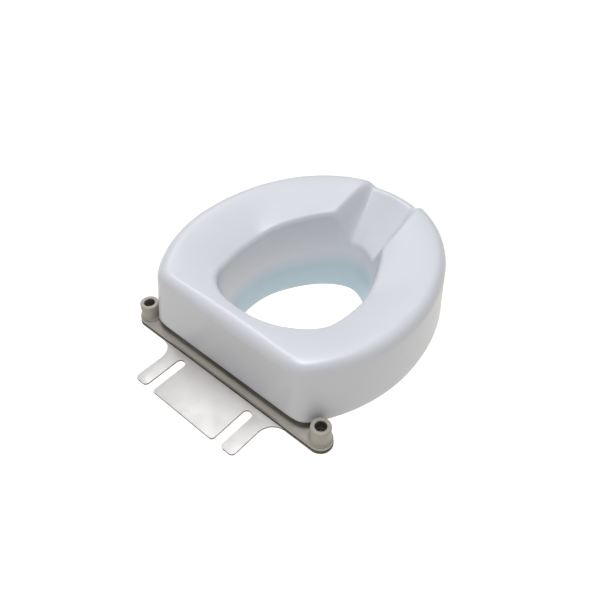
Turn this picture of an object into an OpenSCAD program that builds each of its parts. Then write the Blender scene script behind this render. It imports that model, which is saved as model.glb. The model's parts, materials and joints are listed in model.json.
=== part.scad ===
// Raised toilet seat on a bolt-down bracket.
// The origin is the midpoint between the two seat bolts, on the underside of the bracket plate.
// +Z is up, +Y points back towards the cistern, and +X is the user's left hand when seated.

/* [Seat body] */
// Height of the top of the seat above the bowl rim
seat_top = 127; // [122:1:132]
// Height of the underside of the seat above the bowl rim
seat_base = 25; // [22:1:28]
// Width of the seat at its underside
seat_w = 416; // [412:2:418]
// Width of the seat at its top
seat_top_w = 405; // [401:2:409]
// Reach of the seat in front of its widest line, at its underside
nose_len = 262; // [254:1:268]
// Reach of the seat in front of its widest line, at its top
nose_top_len = 248; // [242:1:252]
// Distance of the rear wall behind the widest line, at its underside
rear_len = 169; // [167:1:170]
// Distance of the rear wall behind the widest line, at its top
rear_top_len = 163; // [162:1:165]
// Wall thickness of the moulded shell
wall = 4; // [3:0.5:4.5]
// Radius of the rounded outer top edge
edge_r = 18; // [15:1:19]
// Radius of the rounded rim of the opening
rim_r = 13; // [10:1:14]
// Drop of the sitting surface from its outer edge to the rim, at the sides
dish = 28; // [22:1:31]
// Drop of the sitting surface at the rear
rear_dish = 5; // [3:1:7]
// Drop of the sitting surface beside the scoop, at the front
front_dish = 20; // [16:1:24]

/* [Opening and bowl flange] */
// Half width of the opening at its rim
open_half_w = 107; // [104:1:110]
// Reach of the opening in front of the widest line
open_front = 176; // [170:1:180]
// Reach of the opening behind the widest line
open_rear = 125; // [120:1:126]
// Half width of the flange at its lower edge
flange_half_w = 103; // [100:1:105]
// Reach of the flange in front of the widest line, at its lower edge
flange_front = 143; // [138:1:147]
// Reach of the flange behind the widest line, at its lower edge
flange_rear = 118; // [112:1:120]
// Depth of the flange below the bowl rim
flange_depth = 40; // [30:1:50]

/* [Front scoop] */
// Sideways offset of the scoop from the middle of the seat, towards the user's right
scoop_offset = 9; // [0:1:12]
// Half width of the scoop floor at the outer edge of the seat
scoop_lip_floor = 38; // [34:1:40]
// Half width of the scoop floor at the opening
scoop_rim_floor = 26; // [22:1:28]
// Width of the scoop's side walls at the outer edge of the seat
scoop_lip_side = 20; // [16:1:24]
// Width of the scoop's side walls at the opening
scoop_rim_side = 34; // [30:1:38]
// Drop of the scoop floor at the outer edge of the seat
scoop_lip = 10; // [7:1:12]
// Drop of the scoop floor at the opening
scoop_drop = 76; // [60:1:78]

/* [Bracket] */
// Distance between the two seat bolts
bolt_pitch = 140; // [136:1:160]
// Distance of the seat's widest line in front of the bolts
bowl_offset = 194; // [193:1:198]
// Width of each bolt slot
slot_w = 15; // [13:0.5:16]
// Reach of the tongue and prongs behind the bolts
tongue_len = 60; // [50:1:70]
// Width of each prong outside its slot
prong_w = 24; // [20:1:28]
// Thickness of the steel bracket plate
plate_t = 2.5; // [2:0.5:3]
// Thickness of the rubber gasket on the plate
gasket_t = 2; // [1.5:0.5:2]
// Distance between the two arm sockets
post_pitch = 350; // [349:1:354]
// Radius of the rounded ends of the bracket
lobe_r = 18.5; // [18:0.5:20]
// Height of the arm socket rims above the bowl rim
post_top = 39; // [36:1:44]
// Outer radius of an arm socket post
post_r = 14.5; // [13.5:0.5:15]
// Bore radius of an arm socket
socket_r = 8.4; // [8:0.1:8.8]

/* [Locating pegs and bumpers] */
// Distance between the two locating pegs
peg_pitch = 200; // [180:2:220]
// Radius of a locating peg
peg_r = 5; // [4:0.5:5]
// Height of the peg tips above the bowl rim
peg_top = 49; // [42:1:50]
// Radius of a rubber bumper at its foot
bumper_r = 12; // [10:1:14]

/* [Hidden] */
$fn = 48;

gap = 0.1;                    // clearance between pieces that are joined together
slide_gap = 0.35;             // clearance between a peg and its bush
weld_gap = 0.2;               // clearance round the base panel, where it is welded in
panel_t = 3;                  // thickness of the base panel
bar_base = plate_t + gasket_t;
bar_top = 12;                 // top of the crossbar, above the bowl rim
bar_rear = -16.5;             // rear edge of the crossbar
bar_front = -64;              // front edge of the crossbar, under the seat
post_y = bar_rear - lobe_r;
peg_y = -54;
wide_y = -bowl_offset;
screw_r = 3;                  // M6 screws in the arm sockets
socket_floor = bar_top + 6;
socket_step = socket_floor + 6;   // ledge that an arm tube stands on, above the screw head
washer_r = 6;
bar_screw_r = 2.5;            // M5 screws between plate and crossbar
bar_screw_spots = [[58, -38], [132, -40]];
bumper_spots = [150, 80];     // bearing of the front and the side bumpers, from straight back
pad_spots = [35, 140];

// ---- outline functions: radius about the seat's middle, at bearing a from straight back ----
function super_r(a, half_w, front, rear, n) =
    let (len = cos(a) < 0 ? front : rear)
    pow(pow(abs(sin(a)) / half_w, n) + pow(abs(cos(a)) / len, n), -1 / n);
corner_sharpness = 40;        // higher makes the rear corners tighter
side_rear = 238;              // rear half axis of the side curves, at the underside
side_top_rear = 216;          // rear half axis of the side curves, at the top
function d_shape_r(a, half_w, front, flat, side) =
    let (round_r = super_r(a, half_w, front, side, 2))
    cos(a) <= 0.05 ? round_r
    : pow(pow(round_r, -corner_sharpness) + pow(flat / cos(a), -corner_sharpness),
          -1 / corner_sharpness);
function mix(p, q, t) = p + (q - p) * t;
function smooth(t) = let (c = max(0, min(1, t))) c * c * (3 - 2 * c);
function outer_r(a, z) =
    mix(d_shape_r(a, seat_w / 2, nose_len, rear_len, side_rear),
        d_shape_r(a, seat_top_w / 2, nose_top_len, rear_top_len, side_top_rear),
        (z - seat_base) / (seat_top - seat_base));
rim_z = seat_top - dish;
rim_powers = [1.6, 2.4];      // pointed towards the nose, squarer towards the rear
foot_powers = [1.7, 2.4];
function power_at(a, powers) = mix(powers[0], powers[1], smooth((cos(a) + 0.8) / 1.6));
function inner_r(a, z) =
    mix(super_r(a, open_half_w, open_front, open_rear, power_at(a, rim_powers)),
        super_r(a, flange_half_w, flange_front, flange_rear, power_at(a, foot_powers)),
        (rim_z - z) / (rim_z + flange_depth));

// Places in plan, about the seat's middle. The inner end of a cross section swings forward
// of the outer end near the nose, so that the sections there run parallel to the scoop.
function outer_xy(a, z) = let (r = outer_r(a, z)) [r * sin(a), r * cos(a)];
function inner_bearing(a) =
    let (f = 180 - abs(a))
    sign(a) * (180 - f * (1 + 0.6 * (1 - smooth((f - 14) / 70))));
function inner_xy(a, z) = let (b = inner_bearing(a), r = inner_r(b, z)) [r * sin(b), r * cos(b)];
function inward(a) = let (d = inner_xy(a, rim_z) - outer_xy(a, seat_top)) d / norm(d);

// ---- height of the sitting surface: s runs from the outer edge, 0, to the rim, 1 ----
function dish_at(a) =
    mix(mix(dish, front_dish, smooth((-cos(a) - 0.1) / 0.9)), rear_dish,
        smooth((cos(a) - 0.4) / 0.6));
function scoop_share(s, x, a) = cos(a) > 0 ? 0
    : 1 - smooth((abs(x + scoop_offset) - mix(scoop_lip_floor, scoop_rim_floor, s))
                 / mix(scoop_lip_side, scoop_rim_side, s));
dish_power = 1.3;             // the surface steepens a little towards the opening
function surface_z(s, x, a) =
    mix(seat_top - dish_at(a) * pow(s, dish_power),
        seat_top - scoop_lip - (scoop_drop - scoop_lip) * s, scoop_share(s, x, a));
// Its slope over a run from the outer edge to the rim
function slope_at(s, x, a, run) =
    mix(dish_power * dish_at(a) * pow(s, dish_power - 1), scoop_drop - scoop_lip,
        scoop_share(s, x, a)) / run;

// One cross section of the shell at bearing a, as points in space
function section(a) =
    let (
        u = inward(a),
        edge_top = surface_z(0, (outer_xy(a, seat_top) + edge_r * u)[0], a),
        rim_x = (inner_xy(a, rim_z) - rim_r * u)[0],
        rim_top = surface_z(1, rim_x, a),
        edge_c = outer_xy(a, edge_top - edge_r) + edge_r * u,
        rim_c = inner_xy(a, rim_top - rim_r) - rim_r * u,
        lean = atan(slope_at(1, rim_x, a, norm(edge_c - rim_c) + 0.4 * rim_r)),
        rim_s = rim_c + rim_r * sin(lean) * u,
        run = norm(edge_c - rim_s),
        arc_z = rim_top - rim_r * cos(lean),
        steps = 6,
        waist = (seat_base + seat_top) / 2,
        foot = -flange_depth
    )
    concat(
        [at(outer_xy(a, seat_base), seat_base), at(outer_xy(a, waist), waist)],
        [for (p = [0:15:90])
            at(edge_c - edge_r * cos(p) * u, edge_top - edge_r + edge_r * sin(p))],
        [for (k = [1:steps - 1])
            let (s = k / steps, q = edge_c + (rim_s - edge_c) * s) at(q, surface_z(s, q[0], a))],
        [for (k = [0:5])
            let (p = mix(lean, 90, k / 5))
            at(rim_c + rim_r * sin(p) * u, arc_z + rim_r * cos(p))],
        [for (k = [1:3])
            let (z = mix(arc_z, 2 + foot, k / 3)) at(inner_xy(a, z), z)],
        [at(inner_xy(a, foot) - 1.2 * u, foot),
         at(inner_xy(a, foot) - (wall - 1.2) * u, foot),
         at(inner_xy(a, foot + 2) - wall * u, foot + 2),
         at(inner_xy(a, seat_base) - wall * u, seat_base)],
        [for (k = [0:3])
            let (p = mix(90, lean, k / 3))
            at(rim_c + (rim_r - wall) * sin(p) * u, arc_z + (rim_r - wall) * cos(p))],
        [for (k = [steps - 1:-1:1])
            let (s = k / steps, q = edge_c + (rim_s - edge_c) * s)
            at(q, surface_z(s, q[0], a) - wall * sqrt(1 + pow(slope_at(s, q[0], a, run), 2)))],
        [for (p = [90:-30:0])
            at(edge_c - (edge_r - wall) * cos(p) * u, edge_top - edge_r + (edge_r - wall) * sin(p))],
        [at(outer_xy(a, seat_base) + wall * u, seat_base)]
    );
function at(xy, z) = [xy[0], wide_y + xy[1], z];

// Bearings of the cross sections: closer together round the rear corners and the scoop
half_bearings = [for (a = [0:6:30]) a, for (a = [34:2.5:49]) a, for (a = [54:6:156]) a,
                 for (a = [160.5:1:179.5]) a];
bearings = concat(half_bearings, [for (k = [len(half_bearings) - 1:-1:1]) -half_bearings[k]]);

// Closed band of sections joined into one skin
module swept_band(rings) {
    n = len(rings);
    m = len(rings[0]);
    points = [for (ring = rings) for (p = ring) p];
    faces = [for (i = [0:n - 1]) for (j = [0:m - 1])
        let (i2 = (i + 1) % n, j2 = (j + 1) % m)
        for (f = [[i * m + j, i * m + j2, i2 * m + j2], [i * m + j, i2 * m + j2, i2 * m + j]]) f];
    polyhedron(points = points, faces = faces);
}

// ---- the moulded seat and what it carries ----
module seat_shell() {
    color("white")
    swept_band([for (a = bearings) section(a)]);
}

// Outline of the base panel, inside the walls of the shell at the panel's top
module base_outline() {
    z = seat_base + panel_t;
    translate([0, wide_y]) difference() {
        polygon([for (a = bearings) outer_xy(a, z) + (wall + weld_gap) * inward(a)]);
        polygon([for (a = bearings) inner_xy(a, z) - (wall + weld_gap) * inward(a)]);
    }
}

// Stiffening rib at bearing a, from the flange to the outer wall. Its top edge slopes down
// to the flange by the given fall.
module rib(a, fall) {
    rib_t = 3;
    spare = 4;                // clearance to the walls
    foot = seat_base + panel_t - 0.5;
    outer_top = rim_z - 6;
    lo = inner_r(a, rim_z) + wall + spare;
    translate([0, wide_y, 0]) rotate([90, 0, 90 - a]) translate([0, 0, -rib_t / 2])
    linear_extrude(rib_t) polygon([
        [lo, foot], [outer_r(a, seat_base) - wall - spare, foot],
        [outer_r(a, outer_top) - wall - spare, outer_top], [lo + 6, outer_top - fall]]);
}

function bumper_xy(a, side) =
    let (r = (outer_r(a, seat_base) + inner_r(a, seat_base) + wall) / 2)
    [side * r * sin(a), wide_y + r * cos(a)];

module base_panel() {
    boss_h = 16;
    tube_r = peg_r + 5.5;
    color("whitesmoke")
    difference() {
        union() {
            translate([0, 0, seat_base]) linear_extrude(panel_t) base_outline();
            for (side = [-1, 1]) {
                for (a = [60, 100, 130]) rib(side * a, 12);
                rib(side * 12, 6);
                translate([side * peg_pitch / 2, peg_y, seat_base])
                    cylinder(h = 26, r = tube_r);
                for (a = bumper_spots)
                    translate([bumper_xy(a, side)[0], bumper_xy(a, side)[1], seat_base])
                        cylinder(h = boss_h, r = 6);
            }
        }
        for (side = [-1, 1]) {
            translate([side * peg_pitch / 2, peg_y, seat_base - 1])
                cylinder(h = 40, r = peg_r + 3 + gap);
            for (a = bumper_spots)
                translate([bumper_xy(a, side)[0], bumper_xy(a, side)[1], seat_base - 1])
                    cylinder(h = boss_h, r = 2.1);
        }
    }
}

// Nylon bush that guides a locating peg
module peg_bush(side) {
    color("ivory")
    translate([side * peg_pitch / 2, peg_y, seat_base])
    difference() {
        cylinder(h = 25, r = peg_r + 3);
        translate([0, 0, -1]) cylinder(h = 30, r = peg_r + slide_gap);
    }
}
module left_peg_bush() { peg_bush(1); }
module right_peg_bush() { peg_bush(-1); }

// Rubber bumper with a deep recess for its screw
module bumper(a, side) {
    color("dimgray")
    translate([bumper_xy(a, side)[0], bumper_xy(a, side)[1], 0])
    difference() {
        rotate_extrude() polygon([
            [0, 0], [bumper_r - 1, 0], [bumper_r, 1], [bumper_r + 1.5, seat_base], [0, seat_base]]);
        translate([0, 0, -1]) cylinder(h = 7, r = 6.6);
        cylinder(h = seat_base + 1, r = 2.2);
    }
}
module front_left_bumper() { bumper(bumper_spots[0], 1); }
module front_right_bumper() { bumper(bumper_spots[0], -1); }
module side_left_bumper() { bumper(bumper_spots[1], 1); }
module side_right_bumper() { bumper(bumper_spots[1], -1); }

module at_bumpers() {
    for (side = [-1, 1]) for (a = bumper_spots)
        translate([bumper_xy(a, side)[0], bumper_xy(a, side)[1], 0]) children();
}

// Round-headed screw pointing up into the base panel, with a cross recess
module bumper_screws() {
    bite = 12;                // length of thread in the base panel
    color("silver")
    at_bumpers() difference() {
        union() {
            translate([0, 0, 2.2]) cylinder(h = 2.6, r = 4);
            translate([0, 0, 4.8]) cylinder(h = seat_base + bite - 4.8, r = 2);
        }
        translate([-2.2, -0.5, 2]) cube([4.4, 1, 1.6]);
        translate([-0.5, -2.2, 2]) cube([1, 4.4, 1.6]);
    }
}

module bumper_cup_washers() {
    color("silver")
    at_bumpers() translate([0, 0, 4.8]) difference() {
        cylinder(h = 1.2, r = 5.6);
        translate([0, 0, -1]) cylinder(h = 4, r = 2.2);
    }
}

// ---- the bracket that bolts to the bowl ----
// Outline of the bar: a strip with a round lobe at each end
module bar_outline(inset) {
    union() {
        translate([-post_pitch / 2, bar_front + inset])
            square([post_pitch, bar_rear - bar_front - 2 * inset]);
        for (side = [-1, 1]) translate([side * post_pitch / 2, post_y])
            circle(r = lobe_r - inset);
    }
}

// Slanted cut that takes the front corners of the bar down to its end lobes
module bar_front_corners() {
    cut = 32;                 // length of the slant along the bar
    for (side = [-1, 1]) translate([side * post_pitch / 2, 0]) mirror([side < 0 ? 1 : 0, 0])
        polygon([[-cut, bar_front - 1], [lobe_r + 1, bar_front - 1], [lobe_r + 1, post_y],
                 [lobe_r * sin(70), post_y - lobe_r * cos(70)]]);
}

slot_r = slot_w / 2;
prong_x = bolt_pitch / 2 + slot_r;
flare_r = 26;

// Block with its two rear corners rounded
module tab(x0, x1, y0, y1, r) {
    union() {
        translate([x0, y0]) square([x1 - x0, y1 - y0 - r]);
        translate([x0 + r, y0]) square([x1 - x0 - 2 * r, y1 - y0]);
        translate([x0 + r, y1 - r]) circle(r = r);
        translate([x1 - r, y1 - r]) circle(r = r);
    }
}

module plate_outline() {
    tongue_x = bolt_pitch / 2 - slot_r;
    outer_x = prong_x + prong_w;
    difference() {
        union() {
            bar_outline(0);
            translate([-outer_x - flare_r, bar_rear - 2])
                square([2 * (outer_x + flare_r), flare_r + 2]);
            tab(-tongue_x, tongue_x, bar_front, tongue_len, 5);
            tab(-outer_x, -prong_x, bar_front, tongue_len, 7);
            tab(prong_x, outer_x, bar_front, tongue_len, 7);
        }
        for (side = [-1, 1]) {
            translate([side * (outer_x + flare_r), bar_rear + flare_r]) circle(r = flare_r);
            translate([side * bolt_pitch / 2, 0]) circle(r = slot_r);
            translate([side * bolt_pitch / 2 - slot_r, 0]) square([slot_w, tongue_len + 9]);
        }
        bar_front_corners();
    }
}

module at_bar_screws() {
    for (side = [-1, 1]) for (spot = bar_screw_spots)
        translate([side * spot[0], spot[1], 0]) children();
}
module at_posts() {
    for (side = [-1, 1]) translate([side * post_pitch / 2, post_y, 0]) children();
}
module at_pegs() {
    for (side = [-1, 1]) translate([side * peg_pitch / 2, peg_y, 0]) children();
}

head_r = bar_screw_r + 2.3;   // countersunk head radius
module countersink(extra) {
    cylinder(h = 2, r1 = head_r + extra, r2 = head_r + extra - 2);
}

module bracket_plate() {
    color("gainsboro")
    difference() {
        linear_extrude(plate_t) plate_outline();
        at_bar_screws() {
            translate([0, 0, -0.01]) countersink(gap);
            translate([0, 0, -1]) cylinder(h = plate_t + 2, r = bar_screw_r + 0.2);
        }
        at_posts() translate([0, 0, -1]) cylinder(h = plate_t + 2, r = screw_r + 0.3);
    }
}

module bar_gasket() {
    color("dimgray")
    translate([0, 0, plate_t]) difference() {
        linear_extrude(gasket_t) difference() {
            bar_outline(0.4);
            bar_front_corners();
        }
        at_bar_screws() translate([0, 0, -1]) cylinder(h = gasket_t + 2, r = bar_screw_r + 0.3);
        at_posts() translate([0, 0, -1]) cylinder(h = gasket_t + 2, r = 6.2);
        at_pegs() translate([0, 0, -1]) cylinder(h = gasket_t + 2, r = 8);
    }
}

module crossbar() {
    color("tan")
    difference() {
        translate([0, 0, bar_base]) linear_extrude(bar_top - bar_base) difference() {
            bar_outline(0.8);
            bar_front_corners();
        }
        at_bar_screws() translate([0, 0, bar_base - 1]) cylinder(h = 6.6, r = 4 + gap);
        at_posts() {
            translate([0, 0, bar_base - 1]) cylinder(h = bar_top, r = screw_r + 0.3);
            translate([0, 0, bar_base - 1]) cylinder(h = 4.1, r = 6.2);
        }
        at_pegs() {
            translate([0, 0, bar_base - 1]) cylinder(h = bar_top, r = 4 + gap);
            translate([0, 0, bar_base - 1]) cylinder(h = 3.6, r = 8);
        }
    }
}

// Post with a blind socket for an arm tube, a counterbore for its screw and a flared foot
module arm_socket(side) {
    flare = 2.6;
    color("lightgray")
    translate([side * post_pitch / 2, post_y, 0]) difference() {
        rotate_extrude() polygon(concat(
            [[0, bar_top], [post_r + flare, bar_top], [post_r + flare, bar_top + 1.5]],
            [for (p = [10:20:90])
                [post_r + flare * (1 - sin(p)), bar_top + 1.5 + 9 * (1 - cos(p))]],
            [for (p = [0:30:90])
                [post_r - 1.2 + 1.2 * cos(p), post_top - 1.2 + 1.2 * sin(p)]],
            [[0, post_top]]));
        translate([0, 0, socket_step]) cylinder(h = post_top, r = socket_r);
        translate([0, 0, socket_floor]) cylinder(h = post_top, r = washer_r + 0.4);
        translate([0, 0, bar_top - 1]) cylinder(h = 9, r = screw_r + 0.3);
    }
}
module left_arm_socket() { arm_socket(1); }
module right_arm_socket() { arm_socket(-1); }

washer_t = 1.2;
// Pan-headed screw at the floor of a socket, with a cross recess
module socket_screw(side) {
    head_z = socket_floor + washer_t;
    color("silver")
    translate([side * post_pitch / 2, post_y, 0]) difference() {
        union() {
            translate([0, 0, 0.4]) cylinder(h = head_z - 0.4, r = screw_r);
            translate([0, 0, head_z]) rotate_extrude() polygon([
                [0, 0], [5.6, 0], [5.6, 1.8], [5, 3], [3.6, 3.8], [0, 4.1]]);
        }
        translate([-3, -0.6, head_z + 2]) cube([6, 1.2, 4]);
        translate([-0.6, -3, head_z + 2]) cube([1.2, 6, 4]);
    }
}
module left_socket_screw() { socket_screw(1); }
module right_socket_screw() { socket_screw(-1); }

module socket_washers() {
    color("silver")
    at_posts() translate([0, 0, socket_floor]) difference() {
        cylinder(h = washer_t, r = washer_r);
        translate([0, 0, -1]) cylinder(h = 4, r = screw_r + 0.3);
    }
}

module hex_nut(r_flat, bore_r, h) {
    difference() {
        cylinder(h = h, r = r_flat / cos(30), $fn = 6);
        translate([0, 0, -1]) cylinder(h = h + 2, r = bore_r);
    }
}

module socket_nuts() {
    color("silver")
    at_posts() translate([0, 0, plate_t + 0.1]) hex_nut(5, screw_r + gap, 4.8);
}

// Steel peg with a collar on the bar and a threaded stem below it
module locating_peg(side) {
    collar_t = 1.6;
    tip = peg_r - 2;
    color("silver")
    translate([side * peg_pitch / 2, peg_y, 0]) union() {
        translate([0, 0, plate_t + 0.1]) cylinder(h = bar_top - plate_t, r = 4);
        translate([0, 0, bar_top]) rotate_extrude() polygon([
            [0, 0], [peg_r + 2.5, 0], [peg_r + 2.5, collar_t], [peg_r, collar_t],
            [peg_r, peg_top - bar_top - 3], [tip, peg_top - bar_top], [0, peg_top - bar_top]]);
    }
}
module left_locating_peg() { locating_peg(1); }
module right_locating_peg() { locating_peg(-1); }

module peg_nuts() {
    color("silver")
    at_pegs() translate([0, 0, plate_t + 0.2]) hex_nut(6.5, 4 + gap, 4.2);
}

// Threaded brass inserts in the underside of the crossbar
module bar_inserts() {
    color("goldenrod")
    at_bar_screws() translate([0, 0, bar_base]) difference() {
        cylinder(h = 5.4, r = 4);
        translate([0, 0, -1]) cylinder(h = 8, r = bar_screw_r + gap);
    }
}

module bar_screws() {
    color("silver")
    at_bar_screws() difference() {
        union() {
            countersink(0);
            cylinder(h = bar_base + 4.8, r = bar_screw_r);
        }
        translate([-2.2, -0.5, -1]) cube([4.4, 1, 2.2]);
        translate([-0.5, -2.2, -1]) cube([1, 4.4, 2.2]);
    }
}

// Rubber pads on the bar that carry the rear of the seat
module rear_rest_pads() {
    pad_h = seat_base - bar_top - 0.3;
    color("dimgray")
    for (side = [-1, 1]) for (x = pad_spots)
        translate([side * x - 14, -56, bar_top]) cube([28, 14, pad_h]);
}

seat_shell();
base_panel();
left_peg_bush();
right_peg_bush();
front_left_bumper();
front_right_bumper();
side_left_bumper();
side_right_bumper();
bumper_screws();
bumper_cup_washers();
bracket_plate();
bar_gasket();
crossbar();
left_arm_socket();
right_arm_socket();
left_socket_screw();
right_socket_screw();
socket_washers();
socket_nuts();
left_locating_peg();
right_locating_peg();
peg_nuts();
bar_inserts();
bar_screws();
rear_rest_pads();
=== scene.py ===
"""Raised toilet seat on a bolt-down bracket: detailed surfaces, materials and a plain studio."""

import json
import math

import bpy
from mathutils import Matrix, Vector


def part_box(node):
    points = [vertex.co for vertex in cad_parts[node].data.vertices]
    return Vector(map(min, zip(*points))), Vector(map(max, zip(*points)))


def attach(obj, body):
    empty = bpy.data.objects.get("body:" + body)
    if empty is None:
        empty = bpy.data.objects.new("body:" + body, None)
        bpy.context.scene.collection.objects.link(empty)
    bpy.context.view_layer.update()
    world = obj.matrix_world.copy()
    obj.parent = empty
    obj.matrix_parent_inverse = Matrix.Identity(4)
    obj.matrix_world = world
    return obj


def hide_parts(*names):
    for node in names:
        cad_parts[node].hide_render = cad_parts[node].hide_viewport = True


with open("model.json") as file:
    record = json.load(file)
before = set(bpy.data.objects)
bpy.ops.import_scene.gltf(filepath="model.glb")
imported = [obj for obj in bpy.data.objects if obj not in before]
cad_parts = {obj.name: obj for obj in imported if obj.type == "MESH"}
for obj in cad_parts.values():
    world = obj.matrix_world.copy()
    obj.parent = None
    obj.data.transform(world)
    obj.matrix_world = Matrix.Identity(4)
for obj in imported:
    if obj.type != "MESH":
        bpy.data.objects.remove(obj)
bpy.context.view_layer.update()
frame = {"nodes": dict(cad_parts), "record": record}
NODES = frame["nodes"]
MM = 0.001


# ---------------------------------------------------------------- measures from the frame
def centre(node):
    """Middle of a CAD node's box."""
    lo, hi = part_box(node)
    return (lo + hi) / 2


SHELL_LO, SHELL_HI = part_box("seat_shell")
PANEL_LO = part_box("base_panel")[0]
PLATE_LO, PLATE_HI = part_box("bracket_plate")
BAR_LO, BAR_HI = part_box("crossbar")
SOCKET_LO, SOCKET_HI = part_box("left_arm_socket")
POST = centre("left_arm_socket")

SEAT_TOP = SHELL_HI.z
SEAT_BASE = PANEL_LO.z
FLANGE_FOOT = SHELL_LO.z
NOSE_LEN = 262 * MM
WIDE_Y = SHELL_LO.y + NOSE_LEN


# ---------------------------------------------------------------- mesh helpers
def mesh_object(name, verts, faces, smooth=True):
    """A new mesh object with outward normals, linked to the scene."""
    mesh = bpy.data.meshes.new(name)
    mesh.from_pydata([tuple(v) for v in verts], [], faces)
    mesh.validate()
    mesh.update()
    obj = bpy.data.objects.new(name, mesh)
    bpy.context.scene.collection.objects.link(obj)
    if smooth:
        mesh.shade_smooth()
    return obj


def loop_faces(rings, per_ring):
    """Quads between neighbouring closed rings of points, with the last ring joined to the first."""
    faces = []
    for i in range(rings):
        i2 = (i + 1) % rings
        for j in range(per_ring):
            j2 = (j + 1) % per_ring
            faces.append((i * per_ring + j, i2 * per_ring + j, i2 * per_ring + j2, i * per_ring + j2))
    return faces


def lathe(name, profile, x, y, segments=72):
    """Turned piece about a vertical axis at x, y. The profile is a closed loop of (radius, z)."""
    verts = []
    for k in range(segments):
        turn = 2 * math.pi * k / segments
        verts += [(x + r * math.cos(turn), y + r * math.sin(turn), z) for r, z in profile]
    return mesh_object(name, verts, loop_faces(segments, len(profile)))


def arc(cx, cz, r, start, end, steps):
    """Points of an arc in a profile, angles in degrees."""
    out = []
    for k in range(steps + 1):
        a = math.radians(start + (end - start) * k / steps)
        out.append((cx + r * math.cos(a), cz + r * math.sin(a)))
    return out


def rounded(corners, steps=10):
    """Closed outline from (x, y, radius) corners, with each corner rounded by an arc."""
    out = []
    n = len(corners)
    for i, (x, y, r) in enumerate(corners):
        here = Vector((x, y))
        back = (Vector(corners[i - 1][:2]) - here).normalized()
        ahead = (Vector(corners[(i + 1) % n][:2]) - here).normalized()
        if r <= 0:
            out.append(here)
            continue
        half = back.angle(ahead) / 2
        mid = here + (back + ahead).normalized() * (r / math.sin(half))
        a = here + back * (r / math.tan(half)) - mid
        b = here + ahead * (r / math.tan(half)) - mid
        sweep = a.angle_signed(b)
        for k in range(steps + 1):
            turned = a.copy()
            turned.rotate(Matrix.Rotation(-sweep * k / steps, 2))
            out.append(mid + turned)
    return out


def slab(name, outline, z0, z1, bevel):
    """Flat piece between two heights with rounded edges."""
    curve = bpy.data.curves.new(name, "CURVE")
    curve.dimensions = "2D"
    curve.fill_mode = "BOTH"
    curve.extrude = (z1 - z0) / 2 - bevel
    curve.bevel_depth = bevel
    curve.bevel_resolution = 3
    curve.offset = -bevel
    spline = curve.splines.new("POLY")
    spline.points.add(len(outline) - 1)
    for point, p in zip(spline.points, outline):
        point.co = (p.x, p.y, 0, 1)
    spline.use_cyclic_u = True
    temp = bpy.data.objects.new(name + "_curve", curve)
    bpy.context.scene.collection.objects.link(temp)
    bpy.context.view_layer.update()
    mesh = bpy.data.meshes.new_from_object(temp.evaluated_get(bpy.context.evaluated_depsgraph_get()))
    bpy.data.objects.remove(temp)
    mesh.transform(Matrix.Translation((0, 0, (z0 + z1) / 2)))
    mesh.name = name
    obj = bpy.data.objects.new(name, mesh)
    bpy.context.scene.collection.objects.link(obj)
    weld = obj.modifiers.new("weld", "WELD")
    weld.merge_threshold = 0.00001
    mesh.shade_smooth()
    smooth_by_angle(obj, 30)
    return obj


def smooth_by_angle(obj, degrees):
    """Keeps edges sharper than the angle crisp and shades the rest smooth."""
    obj.data.set_sharp_from_angle(angle=math.radians(degrees))


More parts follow.
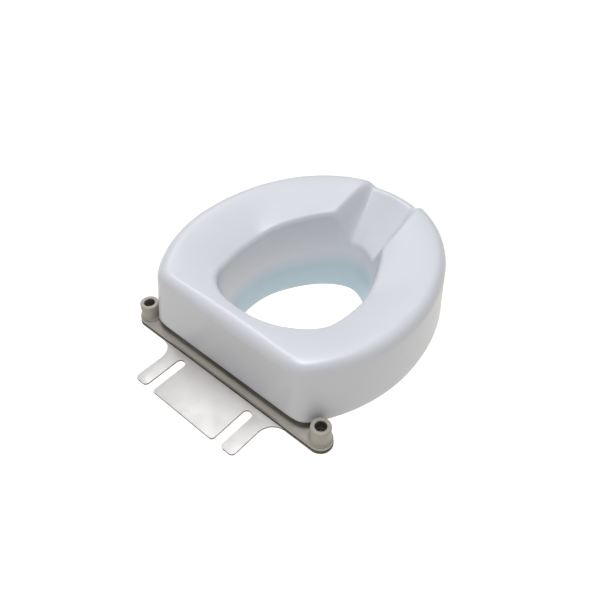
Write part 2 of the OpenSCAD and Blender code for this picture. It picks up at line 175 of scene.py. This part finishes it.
# ---------------------------------------------------------------- node material helpers
class Shader:
    """Short-hand for building a procedural Principled material in object space."""

    def __init__(self, name):
        self.mat = bpy.data.materials.new(name)
        self.mat.use_nodes = True
        self.tree = self.mat.node_tree
        self.nodes = self.tree.nodes
        self.bsdf = next(n for n in self.nodes if n.type == "BSDF_PRINCIPLED")
        self.coords = self.nodes.new("ShaderNodeTexCoord").outputs["Object"]

    def link(self, a, b):
        self.tree.links.new(a, b)

    def stretched(self, sx, sy, sz):
        """Object coordinates scaled along each axis."""
        node = self.nodes.new("ShaderNodeMapping")
        node.inputs["Scale"].default_value = (sx, sy, sz)
        self.link(self.coords, node.inputs["Vector"])
        return node.outputs["Vector"]

    def noise(self, per_metre, detail=3, rough=0.5, coords=None):
        """Fractal noise with that many cells per metre."""
        node = self.nodes.new("ShaderNodeTexNoise")
        node.inputs["Scale"].default_value = per_metre
        node.inputs["Detail"].default_value = detail
        node.inputs["Roughness"].default_value = rough
        self.link(coords or self.coords, node.inputs["Vector"])
        return node.outputs["Fac"]

    def remap(self, value, lo, hi, to_lo, to_hi):
        """Linear map of a value from one range to another, clamped."""
        node = self.nodes.new("ShaderNodeMapRange")
        for key, number in zip(("From Min", "From Max", "To Min", "To Max"), (lo, hi, to_lo, to_hi)):
            node.inputs[key].default_value = number
        self.link(value, node.inputs["Value"])
        return node.outputs["Result"]

    def math(self, how, a, b):
        """One math node; a and b are sockets or numbers."""
        node = self.nodes.new("ShaderNodeMath")
        node.operation = how
        for socket, value in zip(node.inputs, (a, b)):
            if isinstance(value, (int, float)):
                socket.default_value = value
            else:
                self.link(value, socket)
        return node.outputs["Value"]

    def blend(self, factor, a, b):
        """Colour mix; a and b are colours or sockets."""
        node = self.nodes.new("ShaderNodeMix")
        node.data_type = "RGBA"
        self.link(factor, node.inputs["Factor"])
        for socket, value in zip((node.inputs[6], node.inputs[7]), (a, b)):
            if isinstance(value, tuple):
                socket.default_value = (*value, 1)
            else:
                self.link(value, socket)
        return node.outputs[2]

    def axis(self, letter):
        """One coordinate of the object position, in metres."""
        node = self.nodes.new("ShaderNodeSeparateXYZ")
        self.link(self.coords, node.inputs[0])
        return node.outputs[letter]

    def worn_edges(self, spread=0.0015):
        """About 0 on flat surface and towards 1 on convex edges, from the bevelled normal."""
        bevel = self.nodes.new("ShaderNodeBevel")
        bevel.samples = 4
        bevel.inputs["Radius"].default_value = spread
        geometry = self.nodes.new("ShaderNodeNewGeometry")
        dot = self.nodes.new("ShaderNodeVectorMath")
        dot.operation = "DOT_PRODUCT"
        self.link(bevel.outputs["Normal"], dot.inputs[0])
        self.link(geometry.outputs["Normal"], dot.inputs[1])
        return self.remap(dot.outputs["Value"], 1.0, 0.75, 0.0, 1.0)

    def bump(self, layers):
        """Chain of bump layers given as (height socket, strength, distance in metres)."""
        normal = None
        for height, strength, distance in layers:
            node = self.nodes.new("ShaderNodeBump")
            node.inputs["Strength"].default_value = strength
            node.inputs["Distance"].default_value = distance
            self.link(height, node.inputs["Height"])
            if normal is not None:
                self.link(normal, node.inputs["Normal"])
            normal = node.outputs["Normal"]
        self.link(normal, self.bsdf.inputs["Normal"])

    def set(self, **values):
        """Constant values or sockets for the shader's inputs; underscores stand for spaces."""
        for key, value in values.items():
            socket = self.bsdf.inputs[key.replace("_", " ")]
            if isinstance(value, bpy.types.NodeSocket):
                self.link(value, socket)
            elif isinstance(value, tuple) and len(value) == 3 and socket.type == "RGBA":
                socket.default_value = (*value, 1)
            else:
                socket.default_value = value
        return self.mat


# ---------------------------------------------------------------- materials
def seat_plastic():
    """Glossy white polyethylene: faint mottling, orange peel, and a painted cool, darker tint on the thin
    flange for light through the wall.
    """
    s = Shader("seat_plastic")
    mottle = s.noise(9, 3)
    body = s.blend(s.remap(mottle, 0.3, 0.7, 0, 1), (0.64, 0.645, 0.68), (0.66, 0.665, 0.695))
    # Painted translucency: a cool, darker tint towards the flange foot, standing for light through the thin
    # wall.
    painted_translucency = s.remap(s.axis("Z"), SEAT_BASE + 6 * MM, SEAT_BASE - 22 * MM, 0, 1)
    with_painted_translucency = s.blend(painted_translucency, body, (0.46, 0.57, 0.63))
    scuff = s.remap(s.noise(260, 2, 0.7), 0.62, 0.75, 0, 1)
    colour = s.blend(s.math("MULTIPLY", scuff, 0.06), with_painted_translucency, (0.53, 0.53, 0.55))
    s.bump([(s.noise(700, 2), 0.03, 0.0001)])
    rough = s.remap(s.noise(60, 4), 0.3, 0.7, 0.30, 0.35)
    return s.set(Base_Color=colour, Roughness=rough)


def matte_plastic(name, base, rough=0.5, grain=900, tint=0.9):
    """Moulded plastic with fine spark grain and slight colour drift."""
    s = Shader(name)
    darker = tuple(c * tint for c in base)
    colour = s.blend(s.remap(s.noise(30, 4), 0.35, 0.65, 0, 1), darker, base)
    worn = s.blend(s.math("MULTIPLY", s.worn_edges(), 0.25), colour, tuple(min(1, c * 1.25) for c in base))
    s.bump([(s.noise(grain, 2), 0.12, 0.0003)])
    return s.set(Base_Color=worn, Roughness=s.remap(s.noise(120, 3), 0.3, 0.7, rough - 0.07, rough + 0.07))


def bar_plastic():
    """Grey-beige moulding of the bar and posts, with painted shade down inside the arm sockets."""
    s = Shader("bar_plastic")
    light = (0.44, 0.41, 0.35)
    colour = s.blend(s.remap(s.noise(30, 4), 0.35, 0.65, 0, 1), tuple(c * 0.88 for c in light), light)
    colour = s.blend(s.math("MULTIPLY", s.worn_edges(), 0.3), colour, (0.60, 0.58, 0.53))
    # Painted shade: the bore of each arm socket goes near black with depth below the rim.
    off_x = s.math("SUBTRACT", s.math("ABSOLUTE", s.axis("X"), 0), POST.x)
    off_y = s.math("SUBTRACT", s.axis("Y"), POST.y)
    off = s.math("SQRT", s.math("ADD", s.math("MULTIPLY", off_x, off_x), s.math("MULTIPLY", off_y, off_y)), 0)
    inside = s.remap(off, 8.3 * MM, 9 * MM, 1, 0)
    depth = s.remap(s.axis("Z"), SOCKET_HI.z - 1.5 * MM, SOCKET_HI.z - 5 * MM, 0, 0.9)
    painted_socket_shade = s.blend(s.math("MULTIPLY", inside, depth), colour, (0.05, 0.042, 0.03))
    s.bump([(s.noise(900, 2), 0.12, 0.0003)])
    return s.set(Base_Color=painted_socket_shade, Roughness=s.remap(s.noise(120, 3), 0.3, 0.7, 0.40, 0.52))


def rubber(name, base):
    """Dull rubber with a dusty bloom."""
    s = Shader(name)
    bloom = s.remap(s.noise(90, 5, 0.65), 0.45, 0.7, 0, 0.35)
    colour = s.blend(bloom, base, tuple(c + 0.10 for c in base))
    s.bump([(s.noise(1500, 2), 0.2, 0.0002)])
    return s.set(Base_Color=colour, Roughness=s.remap(s.noise(200, 2), 0.3, 0.7, 0.68, 0.85))


def plate_steel():
    """Satin plate: fine brushing along the tongue, soft blotches and painted near-black shade on the cut
    edges.
    """
    s = Shader("plate_steel")
    brushing = s.noise(1, 4, 0.6, s.stretched(1400, 45, 300))
    blotch = s.remap(s.noise(18, 5), 0.35, 0.7, 0, 1)
    base = s.blend(blotch, (0.66, 0.63, 0.61), (0.60, 0.57, 0.55))
    streaked = s.blend(s.remap(brushing, 0.35, 0.75, 0, 0.35), base, (0.50, 0.48, 0.46))
    # Painted shade: faces steeper than the flat top, the cut edges, are painted near black by the slope of
    # the normal.
    up = s.nodes.new("ShaderNodeNewGeometry")
    split = s.nodes.new("ShaderNodeSeparateXYZ")
    s.link(up.outputs["Normal"], split.inputs[0])
    flat = s.remap(s.math("ABSOLUTE", split.outputs["Z"], 0), 0.75, 0.98, 0, 1)
    colour = s.blend(flat, (0.035, 0.033, 0.03), streaked)
    s.bump([(brushing, 0.10, 0.0002), (s.noise(40, 3), 0.08, 0.0008)])
    rough = s.remap(s.noise(50, 4), 0.3, 0.7, 0.34, 0.50)
    return s.set(Base_Color=colour, Metallic=0.25, Roughness=rough)


def zinc(name, base, rough=0.32):
    """Plated steel with a fine mottled film and worn edges."""
    s = Shader(name)
    film = s.remap(s.noise(500, 4, 0.65), 0.35, 0.7, 0, 1)
    colour = s.blend(film, base, tuple(c * 0.78 for c in base))
    worn = s.blend(s.worn_edges(0.0006), colour, tuple(min(1, c * 1.2) for c in base))
    s.bump([(s.noise(2500, 2), 0.08, 0.0001)])
    return s.set(Base_Color=worn, Metallic=0.9, Roughness=s.remap(film, 0, 1, rough - 0.06, rough + 0.10))


MATERIALS = {
    "seat_plastic": seat_plastic(),
    "panel_plastic": matte_plastic("panel_plastic", (0.74, 0.75, 0.76), 0.48),
    "nylon": matte_plastic("nylon", (0.80, 0.77, 0.67), 0.42),
    "bar_plastic": bar_plastic(),
    "bumper_rubber": rubber("bumper_rubber", (0.045, 0.045, 0.047)),
    "gasket_rubber": rubber("gasket_rubber", (0.055, 0.053, 0.05)),
    "plate_steel": plate_steel(),
    "zinc_steel": zinc("zinc_steel", (0.56, 0.545, 0.50)),
    "peg_steel": zinc("peg_steel", (0.62, 0.62, 0.62), 0.25),
    "insert_brass": zinc("insert_brass", (0.70, 0.52, 0.22), 0.3),
}
SLOT_OF = {row["node"]: row["material_slot"] for row in frame["record"]["subparts"]}


def dress(obj, slot_name):
    """Gives a piece its one material."""
    obj.data.materials.clear()
    obj.data.materials.append(MATERIALS[slot_name])


def stand_for(obj, body, *nodes):
    """Finishes a new piece: material, body and the CAD nodes that it replaces."""
    slot_name = SLOT_OF[nodes[0]]
    dress(obj, slot_name)
    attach(obj, body)
    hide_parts(*nodes)
    return obj


# ---------------------------------------------------------------- the seat's surface
WALL = 4 * MM
EDGE_R = 18 * MM
RIM_R = 13 * MM
DISH = 28 * MM
REAR_DISH = 5 * MM
FRONT_DISH = 20 * MM
RIM_Z = SEAT_TOP - DISH
CORNER_SHARPNESS = 40
# A plan is (half width, reach towards the nose, reach towards the rear).
BASE_PLAN = (208 * MM, NOSE_LEN, 169 * MM)
TOP_PLAN = (202.5 * MM, 248 * MM, 163 * MM)
RIM_PLAN = (107 * MM, 176 * MM, 125 * MM)
FOOT_PLAN = (103 * MM, 143 * MM, 118 * MM)
# Rear half axis of the side curves, before the flat rear wall cuts them off.
SIDE_REAR = {BASE_PLAN: 238 * MM, TOP_PLAN: 216 * MM}
# Super-ellipse powers towards the nose and at the rear: pointed in front, squarer behind.
RIM_POWERS = (1.6, 2.4)
FOOT_POWERS = (1.7, 2.4)
# How the top falls from the edge towards the rim: 1 is a straight slope, more is hollow.
DISH_POWER = 1.3
# Share of the rim's radius that counts towards the run of its slope.
RIM_LEAD = 0.4
# The inner end of a cross section swings forward by up to this share of its bearing from the nose.
SWING = 0.6
SWING_FULL = 14
SWING_FADE = 70
# Centre line of the scoop, then the half width of its floor and the width of its side walls,
# each at the lip and at the rim.
SCOOP_X = -9 * MM
SCOOP_FLOOR = (38 * MM, 26 * MM)
SCOOP_SIDE = (20 * MM, 34 * MM)
SCOOP_LIP = 10 * MM
SCOOP_DROP = 76 * MM
BASE_LIP = 2.2 * MM
PANEL_SEAT = 12 * MM


def mix(a, b, t):
    """Value a share t of the way from a to b."""
    return a + (b - a) * t


def smooth(t):
    """Eased step from 0 to 1, flat outside that range."""
    t = max(0.0, min(1.0, t))
    return t * t * (3 - 2 * t)


def super_r(a, plan, power):
    """Radius of a super-ellipse at bearing a, measured from straight back."""
    reach = plan[1] if math.cos(a) < 0 else plan[2]
    total = (abs(math.sin(a)) / plan[0]) ** power + (abs(math.cos(a)) / reach) ** power
    return total ** (-1 / power)


def d_shape_r(a, plan):
    """Radius of the D-shaped outline: an ellipse cut off by the flat rear wall."""
    round_r = super_r(a, (plan[0], plan[1], SIDE_REAR[plan]), 2)
    if math.cos(a) <= 0.05:
        return round_r
    k = CORNER_SHARPNESS
    flat = plan[2] / math.cos(a)
    return ((round_r / flat) ** k + 1) ** (-1 / k) * round_r


def power_at(a, powers):
    """Super-ellipse power at bearing a, blended from nose to rear."""
    return mix(powers[0], powers[1], smooth((math.cos(a) + 0.8) / 1.6))


def outer_xy(a, z):
    """Outer wall in plan at bearing a and height z."""
    r = mix(d_shape_r(a, BASE_PLAN), d_shape_r(a, TOP_PLAN), (z - SEAT_BASE) / (SEAT_TOP - SEAT_BASE))
    return Vector((r * math.sin(a), r * math.cos(a)))


def inner_xy(a, z):
    """Inner wall in plan for the cross section at bearing a, at height z."""
    f = math.degrees(math.pi - abs(a))
    swung = f * (1 + SWING * (1 - smooth((f - SWING_FULL) / SWING_FADE)))
    b = math.copysign(math.radians(180 - swung), a)
    share = (RIM_Z - z) / (RIM_Z - FLANGE_FOOT)
    rim_r = super_r(b, RIM_PLAN, power_at(b, RIM_POWERS))
    foot_r = super_r(b, FOOT_PLAN, power_at(b, FOOT_POWERS))
    r = mix(rim_r, foot_r, share)
    return Vector((r * math.sin(b), r * math.cos(b)))


def scoop_share(s, x, a):
    """1 on the floor of the scoop, 0 clear of it, at share s of the way from edge to rim."""
    if math.cos(a) > 0:
        return 0.0
    return 1 - smooth((abs(x - SCOOP_X) - mix(*SCOOP_FLOOR, s)) / mix(*SCOOP_SIDE, s))


def dish_at(a):
    """Drop of the top from edge to rim at bearing a."""
    ahead = mix(DISH, FRONT_DISH, smooth((-math.cos(a) - 0.1) / 0.9))
    return mix(ahead, REAR_DISH, smooth((math.cos(a) - 0.4) / 0.6))


def surface_z(s, x, a):
    """Height of the top at share s of the way from edge to rim."""
    dished = SEAT_TOP - dish_at(a) * s ** DISH_POWER
    scooped = SEAT_TOP - SCOOP_LIP - (SCOOP_DROP - SCOOP_LIP) * s
    return mix(dished, scooped, scoop_share(s, x, a))


def rim_slope(x, a, run):
    """Slope at which the surface meets the rim."""
    return mix(DISH_POWER * dish_at(a), SCOOP_DROP - SCOOP_LIP, scoop_share(1, x, a)) / run


def seat_section(a, top_steps=22):
    """One closed cross section of the moulded seat at bearing a, as points in space."""
    u = (inner_xy(a, RIM_Z) - outer_xy(a, SEAT_TOP)).normalized()
    edge_top = surface_z(0, (outer_xy(a, SEAT_TOP) + EDGE_R * u).x, a)
    rim_x = (inner_xy(a, RIM_Z) - RIM_R * u).x
    rim_top = surface_z(1, rim_x, a)
    edge_c = outer_xy(a, edge_top - EDGE_R) + EDGE_R * u
    rim_c = inner_xy(a, rim_top - RIM_R) - RIM_R * u
    lean = math.atan(rim_slope(rim_x, a, (edge_c - rim_c).length + RIM_LEAD * RIM_R))
    rim_s = rim_c + RIM_R * math.sin(lean) * u
    arc_z = rim_top - RIM_R * math.cos(lean)
    lip = BASE_LIP
    out = []

    def add(xy, z):
        out.append((xy.x, WIDE_Y + xy.y, z))

    for r, z in arc(lip, SEAT_BASE + lip, lip, 270, 180, 4):
        add(outer_xy(a, z) + r * u, z)
    for k in range(1, 10):
        z = mix(SEAT_BASE + lip, edge_top - EDGE_R, k / 10)
        add(outer_xy(a, z), z)
    for r, z in arc(EDGE_R, edge_top - EDGE_R, EDGE_R, 180, 90, 12):
        add(edge_c + (r - EDGE_R) * u, z)
    for k in range(1, top_steps):
        q = edge_c.lerp(rim_s, k / top_steps)
        add(q, surface_z(k / top_steps, q.x, a))
    for k in range(11):
        p = mix(lean, math.pi / 2, k / 10)
        add(rim_c + RIM_R * math.sin(p) * u, arc_z + RIM_R * math.cos(p))
    for k in range(1, 12):
        z = mix(arc_z, FLANGE_FOOT + WALL / 2, k / 12)
        add(inner_xy(a, z), z)
    for r, z in arc(WALL / 2, FLANGE_FOOT + WALL / 2, WALL / 2, 0, -180, 8):
        add(inner_xy(a, z) + (r - WALL) * u, z)
    for k in range(1, 5):
        z = mix(FLANGE_FOOT + WALL / 2, SEAT_BASE + PANEL_SEAT, k / 4)
        add(inner_xy(a, z) - WALL * u, z)
    add(outer_xy(a, SEAT_BASE + PANEL_SEAT) + WALL * u, SEAT_BASE + PANEL_SEAT)
    add(outer_xy(a, SEAT_BASE + lip) + WALL * u, SEAT_BASE + lip)
    return out


def seat_bearings():
    """Bearings of the cross sections, closer together round the rear corners and the scoop."""
    spans = ((0, 30, 2.5), (30, 50, 0.8), (50, 150, 1.25), (150, 180, 0.6))
    half = []
    for lo, hi, step in spans:
        count = round((hi - lo) / step)
        half += [lo + (hi - lo) * k / count for k in range(count)]
    degrees = half + [180.0] + [-d for d in reversed(half[1:])]
    return [math.radians(d) for d in degrees]


def build_seat():
    """The moulded body with its rounded edges, dished top, scoop and bowl flange."""
    rings = [seat_section(a) for a in seat_bearings()]
    verts = [p for ring in rings for p in ring]
    skin = mesh_object("seat_body", verts, loop_faces(len(rings), len(rings[0])))
    return stand_for(skin, "seat", "seat_shell")


# ---------------------------------------------------------------- the bracket
POST_X = POST.x
POST_Y = POST.y
LOBE_R = PLATE_HI.x - POST_X
BAR_REAR = POST_Y + LOBE_R
BAR_FRONT = PLATE_LO.y
TONGUE_END = PLATE_HI.y
SLOT_X = 70 * MM
SLOT_R = 7.5 * MM
PRONG_W = 24 * MM
FLARE_R = 26 * MM
SHOULDER = 32 * MM
PLATE_BEVEL = 0.35 * MM
BAR_BEVEL = 1.4 * MM
BAR_INSET = 0.8 * MM
# Arm socket: bore for the tube, narrower well under it, and the screw's hole.
BORE_R = 8.4 * MM
WELL_R = 6.4 * MM
SCREW_HOLE_R = 3.3 * MM
STEP_UP = 12 * MM
FLOOR_UP = 6 * MM
FOOT_FLARE = 2.6 * MM


def mirrored(half):
    """Full outline from the corners of its +X half, listed from front to back."""
    return half + [(-x, y, r) for x, y, r in reversed(half)]


def lobe_corners(inset):
    """Corners that wrap the round lobe at one end of the bar."""
    r = LOBE_R - inset
    reach = Vector((SHOULDER, POST_Y - BAR_FRONT))
    slope = math.tan(math.atan2(reach.y, reach.x) - math.asin(LOBE_R / reach.length))
    side = POST_X + r
    start = POST_X - reach.x
    front = BAR_FRONT + inset
    return [(start, front, 3 * MM), (side, front + (side - start) * slope, r), (side, BAR_REAR - inset, r)]


def build_plate():
    """Flat plate with tongue, prongs, open slots and flared shoulders."""
    inner = SLOT_X - SLOT_R
    outer = SLOT_X + SLOT_R
    edge = outer + PRONG_W
    half = lobe_corners(0) + [
        (edge, BAR_REAR, FLARE_R),
        (edge, TONGUE_END, 7 * MM),
        (outer, TONGUE_END, 7 * MM),
        (outer, -SLOT_R, SLOT_R - 0.01 * MM),
        (inner, -SLOT_R, SLOT_R - 0.01 * MM),
        (inner, TONGUE_END, 5 * MM),
    ]
    plate = slab("bracket_plate_satin", rounded(mirrored(half)), PLATE_LO.z, PLATE_HI.z, PLATE_BEVEL)
    return stand_for(plate, "bracket", "bracket_plate")


def build_crossbar():
    """Moulded bar with softly rounded edges."""
    outline = rounded(mirrored(lobe_corners(BAR_INSET)))
    bar = slab("crossbar_moulding", outline, BAR_LO.z, BAR_HI.z, BAR_BEVEL)
    return stand_for(bar, "bracket", "crossbar")


def build_arm_socket(node, side):
    """Turned post with a flared foot, a rolled rim, a blind bore and a counterbore."""
    x = side * POST_X
    low, high = SOCKET_LO.z, SOCKET_HI.z
    flare = FOOT_FLARE
    r = (SOCKET_HI.x - SOCKET_LO.x) / 2 - flare
    bore, well = BORE_R, WELL_R
    step_z = low + STEP_UP
    floor_z = low + FLOOR_UP
    profile = [(SCREW_HOLE_R, low), (r + flare - 0.6 * MM, low), (r + flare, low + 0.8 * MM)]
    profile += [(r + flare * (1 - math.sin(p)), low + 1.5 * MM + 9 * MM * (1 - math.cos(p)))
                for p in [math.pi / 2 * k / 10 for k in range(11)]]
    profile += arc(r - 1.8 * MM, high - 1.8 * MM, 1.8 * MM, 0, 90, 6)
    profile += arc(bore + 1.2 * MM, high - 1.2 * MM, 1.2 * MM, 90, 180, 5)
    profile += [(bore, step_z + 0.3 * MM), (bore - 0.3 * MM, step_z), (well + 0.3 * MM, step_z)]
    profile += [(well, step_z - 0.3 * MM), (well, floor_z + 0.5 * MM), (well - 0.5 * MM, floor_z)]
    profile += [(SCREW_HOLE_R, floor_z)]
    post = lathe(node + "_post", profile, x, POST_Y)
    smooth_by_angle(post, 35)
    return stand_for(post, "bracket", node)


def keep_cad(node, slot_name):
    """A CAD node whose shape is right: it keeps its mesh and gets a detailed material."""
    obj = NODES[node]
    obj.data.materials.clear()
    obj.data.materials.append(MATERIALS[slot_name])
    for face in obj.data.polygons:
        face.material_index = 0


# ---------------------------------------------------------------- studio
VIEW_FROM = Vector((-0.4511, 0.3356, 0.7296))
VIEW_AZIMUTH = 220.34
VIEW_ELEVATION = 44.77
VIEW_ROLL = 0.62
LENS = 37.11


def build_camera():
    """Camera behind and above the seat, looking down over the bracket."""
    a = math.radians(VIEW_AZIMUTH)
    e = math.radians(VIEW_ELEVATION)
    ahead = Vector((-math.sin(a) * math.cos(e), math.cos(a) * math.cos(e), -math.sin(e)))
    data = bpy.data.cameras.new("camera")
    data.lens = LENS
    data.sensor_width = 36
    data.clip_start = 0.01
    cam = bpy.data.objects.new("camera", data)
    turn = ahead.to_track_quat("-Z", "Y").to_matrix().to_4x4()
    roll = Matrix.Rotation(math.radians(VIEW_ROLL), 4, "Z")
    cam.matrix_world = Matrix.Translation(VIEW_FROM) @ turn @ roll
    bpy.context.scene.collection.objects.link(cam)
    bpy.context.scene.camera = cam


def area_light(name, place, target, size, power, colour):
    """Square softbox aimed at a point."""
    data = bpy.data.lights.new(name, "AREA")
    data.size = size
    data.energy = power
    data.color = colour
    lamp = bpy.data.objects.new(name, data)
    lamp.location = place
    lamp.rotation_euler = (Vector(target) - Vector(place)).to_track_quat("-Z", "Y").to_euler()
    bpy.context.scene.collection.objects.link(lamp)


def build_studio():
    """White floor, pale surroundings and soft lights."""
    size = 6
    z = FLANGE_FOOT
    floor = mesh_object("floor", [(-size, -size, z), (size, -size, z), (size, size, z), (-size, size, z)],
                        [(0, 1, 2, 3)], smooth=False)
    s = Shader("studio_floor")
    tone = s.blend(s.noise(3, 3), (0.14, 0.14, 0.14), (0.17, 0.17, 0.17))
    floor.data.materials.append(s.set(Base_Color=tone, Roughness=0.9, Specular_IOR_Level=0.1,
                                      Emission_Color=(1.0, 0.98, 0.935), Emission_Strength=1.02))
    world = bpy.data.worlds.new("studio")
    world.use_nodes = True
    sky = world.node_tree.nodes["Background"]
    sky.inputs["Color"].default_value = (1.0, 0.985, 0.965, 1)
    seen = world.node_tree.nodes.new("ShaderNodeLightPath")
    level = world.node_tree.nodes.new("ShaderNodeMapRange")
    level.inputs["To Min"].default_value = 0.18      # light that falls on the object
    level.inputs["To Max"].default_value = 1.05      # backdrop behind it
    world.node_tree.links.new(seen.outputs["Is Camera Ray"], level.inputs["Value"])
    world.node_tree.links.new(level.outputs["Result"], sky.inputs["Strength"])
    bpy.context.scene.world = world
    middle = (0, WIDE_Y, 0.1)
    area_light("key", (0.0, -0.15, 1.7), middle, 0.8, 15, (0.93, 0.95, 1.0))
    area_light("card", (0.95, -0.7, 1.7), middle, 0.9, 11, (0.94, 0.955, 1.0))
    area_light("near_top", (-0.15, 0.0, 0.9), (-0.1, -0.1, 0), 0.3, 1.5, (0.98, 0.98, 1.0))
    bpy.context.scene.view_settings.view_transform = "Standard"
    bpy.context.scene.view_settings.look = "None"


build_camera()
build_studio()
build_seat()
build_plate()
build_crossbar()
build_arm_socket("left_arm_socket", 1)
build_arm_socket("right_arm_socket", -1)
REBUILT = {"seat_shell", "bracket_plate", "crossbar", "left_arm_socket", "right_arm_socket"}
for node_name in NODES:
    if node_name not in REBUILT:
        keep_cad(node_name, SLOT_OF[node_name])
